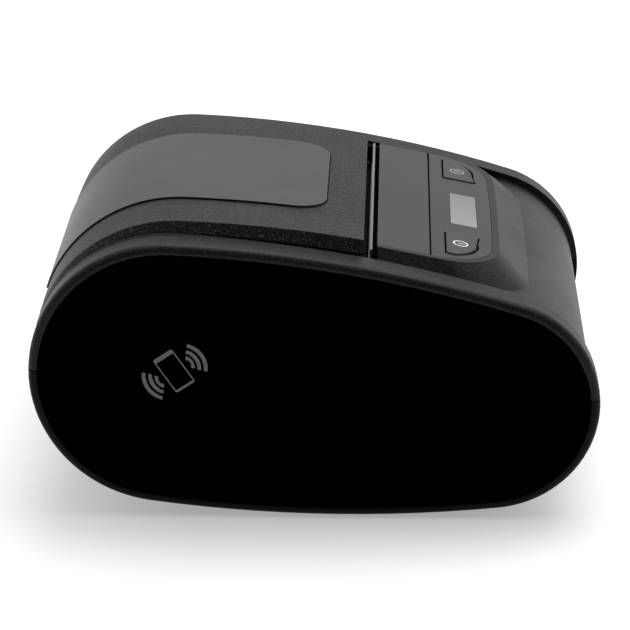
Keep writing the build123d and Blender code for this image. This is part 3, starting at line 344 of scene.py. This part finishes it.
# Slot shade block
# A matt black block that fills the gap between the tear bar and the front strip, on the bar's foot: a dark
# piece put where there is only shade, as painted shade in the gap.
bpy.ops.object.select_all(action="DESELECT")
bpy.ops.mesh.primitive_cube_add(size=1, location=(0, 0, 0))
slot_shade_block = bpy.context.object
slot_shade_block.name = "slot_shade_block"
slot_shade_low = Vector((0.01434, -0.0398, 0.06342))
slot_shade_high = Vector((0.01526, 0.0398, 0.0640))
slot_shade_size = Matrix.Diagonal((*(slot_shade_high - slot_shade_low), 1))
slot_shade_block.data.transform(Matrix.Translation((slot_shade_low + slot_shade_high) / 2) @ slot_shade_size)
# Painted shade: a near-black block in the gap.
slot_shade_black = Finish("painted_slot_shade", (0.0015, 0.0015, 0.0015), 0.9, Specular_IOR_Level=0.0)
slot_shade_black.vary(0.3, 0.001).bump(slot_shade_black.noise(0.0002), 0.00005)
slot_shade_block.data.materials.append(slot_shade_black.material)
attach(slot_shade_block, "case")

# Tear bar
# Stainless strip with a saw edge along its top, stamped and folded. Its foot and its front face are painted
# near-black as painted shade in the slot, so only the rear part of its edge shines.
tear_steel = Finish("tear_steel", (0.78, 0.78, 0.79), 0.22, Metallic=1.0)
tear_steel.vary(0.05, 0.01)
tear_axes = tear_steel.axes()
bright_base_z = 0.0640
bright_front_x = 0.01408
# Painted shade in the slot: the foot below the slot and the front face are painted near-black.
tear_bar_slot_shade = (tear_axes[2] < bright_base_z).or_more(tear_axes[0] > bright_front_x)
tear_steel.print_on(tear_bar_slot_shade, (0.012, 0.012, 0.012))
tear_steel.bump(tear_steel.noise(0.0003, stretch=(1, 0.05, 1)), 0.000006)
tear_steel.dress("tear_bar")

# Hinge pin and shafts
# Ground steel pins: the long one along the rear hinge, the platen's shaft, and the pins of the idler and the
# print head, with the wire springs that press the head up.
shaft_steel = Finish("shaft_steel", (0.56, 0.56, 0.57), 0.25, Metallic=1.0)
shaft_steel.vary(0.08, 0.01).bump(shaft_steel.noise(0.0003, stretch=(1, 0.04, 1)), 0.000004)
shaft_steel.dress("hinge_pin", "platen_shaft", "idler_pin", "head_pivot_pin", "head_springs")

# Platen
# Ground silicone rubber sleeve bonded to its shaft, carried by sintered bronze bushings in the lid's steel
# carrier.
roller_rubber = Finish("roller_rubber", (0.016, 0.016, 0.016), 0.75)
roller_rubber.vary().grained(0.0004, 0.00001)
roller_rubber.dress("platen_rubber")
bushing_bronze = Finish("bushing_bronze", (0.62, 0.43, 0.2), 0.45, Metallic=1.0)
bushing_bronze.vary(0.15, 0.002).grained(0.0002, 0.000006)
bushing_bronze.dress("platen_bushings")

# Steel carrier, chassis and motor
# Zinc-plated motor can, screws and connector shell with faint rolling marks. The chassis, the carrier and
# the catch springs are folded from sheet and painted near-black as painted shade, so the slot stays dark.
sheet_steel = Finish("sheet_steel", (0.5, 0.51, 0.52), 0.35, Metallic=1.0)
sheet_steel.vary(0.12, 0.006)
rolling_marks = sheet_steel.noise(0.0005, stretch=(0.06, 1, 1))
sheet_steel.bump(rolling_marks, 0.000006, sheet_steel.rounded(0.0002))
sheet_steel.dress("stepper_motor", "case_screws", "charge_port")
# Painted shade: the chassis, carrier and springs are painted near-black so the slot stays dark.
slot_shade_steel = Finish("slot_shade_steel", (0.01, 0.01, 0.01), 0.5, Specular_IOR_Level=0.15)
slot_shade_steel.vary().grained(0.0003, 0.000004, edge=0.0002)
slot_shade_steel.dress("catch_springs", "platen_carrier", "print_chassis")

# Gears
# Acetal, moulded, painted dark grey as painted shade in the slot: the platen's gear and the motor's pinion
# pressed on their shafts, the idler on its pin, and the small gear between the guide racks.
gear_plastic = Finish("gear_plastic", (0.07, 0.07, 0.068), 0.45)
gear_plastic.vary(0.04, 0.004).grained(0.0003, 0.000004, edge=0.0001)
gear_plastic.dress("platen_gear", "idler_gear", "motor_pinion", "guide_pinion")

# Print head
# Extruded aluminium heat sink, anodised black, with a dark glazed ceramic strip along its face, where the
# heating line runs.
head_aluminium = Finish("head_aluminium", (0.02, 0.02, 0.022), 0.45, Specular_IOR_Level=0.3)
head_aluminium.vary(0.06, 0.005).bump(head_aluminium.noise(0.0004, stretch=(1, 0.03, 1)), 0.000008)
head_aluminium.dress("printhead_heatsink")
head_ceramic = Finish("head_ceramic", (0.05, 0.043, 0.037), 0.3, Specular_IOR_Level=0.3)
head_ceramic.vary(0.05, 0.004)
heating_line_z = 0.0585
heating_line_half_height = 0.0004
heating_line = abs(head_ceramic.axes()[2] - heating_line_z) < heating_line_half_height
head_ceramic.print_on(heating_line, (0.12, 0.07, 0.04))
head_ceramic.dress("printhead_ceramic")

# Paper bucket, apron and guides
# Black moulded trough for the roll, with the two guides that centre it and the apron up to the head. The
# gap sensor on the apron, the switches and the board's parts are small black mouldings.
inner_plastic = Finish("inner_plastic", (0.018, 0.018, 0.019), 0.5)
inner_plastic.vary().grained(0.0005, 0.000015, edge=0.0002)
inner_plastic.dress("paper_bucket", "paper_apron", "left_paper_guide", "right_paper_guide")
sensor_black = Finish("sensor_black", (0.01, 0.01, 0.012), 0.3)
sensor_black.vary().dress("gap_sensor", "tact_switches", "board_parts")

# Boards
# Glass-fibre boards with green solder mask, set on pillars of the case; faint copper runs show through the
# mask.
board_mask = Finish("board_mask", (0.01, 0.1, 0.035), 0.35)
board_mask.vary(0.1)
run_layout = {"Vector": board_mask.place, "Scale": 160.0, "Mortar Size": 0.035}
runs = board_mask.node("ShaderNodeTexBrick", None, run_layout, outlet=1)
board_mask.print_on(runs, (0.02, 0.16, 0.06))
board_mask.dress("main_board", "key_board")

# Battery and its latch
# Pack in a moulded black case that drops into the bottom of the body, held by a sliding latch of the same
# plastic.
battery_plastic = Finish("battery_plastic", (0.012, 0.012, 0.0125), 0.5)
battery_plastic.vary().grained(0.0004, 0.00002, edge=0.0003)
battery_plastic.dress("battery_pack", "battery_latch")

# Near-field tag
# Copper loop for short-range radio, etched on a film and stuck behind the near side cover, under the phone
# sign.
tag_copper = Finish("tag_copper", (0.75, 0.38, 0.2), 0.4, Metallic=1.0)
tag_copper.vary(0.1, 0.003).dress("nfc_tag")

# Feet and port cover
# Soft matt rubber, moulded. The feet are pressed into collars of the lower case, and the cover of the
# charging connectors swings on the bead along its rear edge.
soft_rubber = Finish("soft_rubber", (0.01, 0.01, 0.01), 0.8, Specular_IOR_Level=0.2)
soft_rubber.vary().grained(0.0005, 0.00002)
soft_rubber.dress("feet", "port_cover")

# Studio
# A pale floor, even light from a white surround that is dimmer on the camera's side, two soft lamps, and
# the viewpoint. Light Path lifts the floor to white for the rays that show it.
floor_size = 6.0
floor_lift = 0.36
bpy.ops.mesh.primitive_plane_add(size=floor_size, location=(0, 0, 0))
floor = bpy.context.object
floor.name = "floor"
floor_paint = Finish("floor_paint", (0.8, 0.8, 0.8), 0.8, Specular_IOR_Level=0.0)
floor_paint.feed(floor_paint.shader.inputs["Base Color"], (0.8, 0.8, 0.8, 1))
light_path = floor_paint.node("ShaderNodeLightPath")
seen_rays = light_path.other("Is Camera Ray")
for ray in ("Is Glossy Ray", "Is Transmission Ray"):
    inputs = {0: seen_rays, 1: light_path.other(ray)}
    seen_rays = floor_paint.node("ShaderNodeMath", {"operation": "ADD", "use_clamp": True}, inputs)
floor_paint.feed(floor_paint.shader.inputs["Emission Color"], seen_rays * floor_lift)
floor_paint.feed(floor_paint.shader.inputs["Emission Strength"], 1.0)
floor.data.materials.append(floor_paint.material)

world = bpy.data.worlds.new("studio")
bpy.context.scene.world = world
world.use_nodes = True
sky = Tree(world.node_tree)
background = sky.tree.nodes["Background"]
direction = sky.node("ShaderNodeTexCoord", outlet="Generated")
direction_y = sky.node("ShaderNodeSeparateXYZ", None, {0: direction}, outlet=1)
levels = {"Value": direction_y, "From Min": -0.7, "From Max": 0.3, "To Min": 0.08, "To Max": 1.0}
sky_level = sky.node("ShaderNodeMapRange", {"interpolation_type": "SMOOTHSTEP"}, levels)
sky.feed(background.inputs["Strength"], sky_level)
sky.feed(background.inputs["Color"], (1, 1, 1, 1))


def soft_lamp(name, place, target, width, height, energy):
    """Rectangular lamp at a place, turned to a target."""
    bpy.ops.object.light_add(type="AREA", location=place)
    lamp = bpy.context.object
    lamp.name = name
    lamp.data.shape = "RECTANGLE"
    lamp.data.size = width
    lamp.data.size_y = height
    lamp.data.energy = energy
    lamp.rotation_euler = (Vector(target) - lamp.location).to_track_quat("-Z", "Y").to_euler()


soft_lamp("softbox", (0.15, 0.35, 1.1), (0, 0, 0.04), 1.0, 0.8, 9.0)
soft_lamp("low_softbox", (0.62, 1.25, 0.22), (0.05, 0, 0.05), 0.6, 0.3, 0.3)

eye = Vector((0.0206, -0.6942, 0.29965))
camera_pitch = radians(21.0)
camera_yaw = radians(1.81)
camera_roll = radians(0.4)
focal_pixels = 2837
picture_pixels = 630
sensor_width = 36.0
level_reach = cos(camera_pitch)
ahead = Vector((-sin(camera_yaw) * level_reach, cos(camera_yaw) * level_reach, -sin(camera_pitch)))
level_right = ahead.cross(Vector((0, 0, 1))).normalized()
level_up = level_right.cross(ahead)
right = cos(camera_roll) * level_right - sin(camera_roll) * level_up
up = sin(camera_roll) * level_right + cos(camera_roll) * level_up
camera_data = bpy.data.cameras.new("camera")
camera_data.sensor_width = sensor_width
camera_data.lens = focal_pixels / picture_pixels * sensor_width
camera = bpy.data.objects.new("camera", camera_data)
bpy.context.scene.collection.objects.link(camera)
camera_axes = Matrix((right, up, -ahead)).transposed()
camera.matrix_world = Matrix.Translation(eye) @ camera_axes.to_4x4()
bpy.context.scene.camera = camera
bpy.context.scene.view_settings.view_transform = "Standard"
